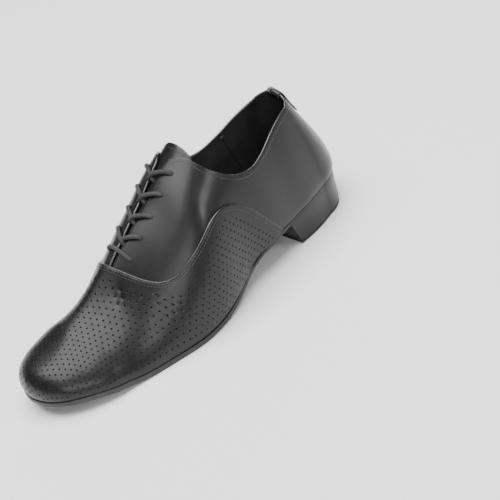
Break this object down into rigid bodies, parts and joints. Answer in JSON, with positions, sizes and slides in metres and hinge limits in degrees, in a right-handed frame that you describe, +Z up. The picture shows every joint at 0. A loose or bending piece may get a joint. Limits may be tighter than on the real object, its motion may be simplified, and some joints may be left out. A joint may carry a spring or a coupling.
{
  "type": "ballroom dance shoe",
  "caption": "Low lace-up ballroom dance shoe for the left foot: black leather, perforated front panel, suede sole, low covered heel",
  "frame": {"origin": "On the floor, below the middle of the whole shoe's box", "axes": "+X from heel to toe, +Y to the little-toe side of this left shoe, +Z up from the floor"},
  "size_m": [0.2838, 0.1006, 0.1116],
  "materials": {
    "leather": "satin",
    "lining": "matte",
    "suede": "matte",
    "rubber": "matte",
    "cord": "matte"
  },
  "bodies": {
    "root": {"upper": "leather", "vamp": "leather", "tongue": "leather", "back_strip": "leather", "insole": "lining", "outsole": "suede", "heel_block": "leather", "heel_tip": "rubber", "lace_bar": "cord", "lace_cross_2": "cord", "lace_cross_3": "cord", "lace_cross_4": "cord", "lace_cross_5": "cord"}
  },
  "joints": []
}
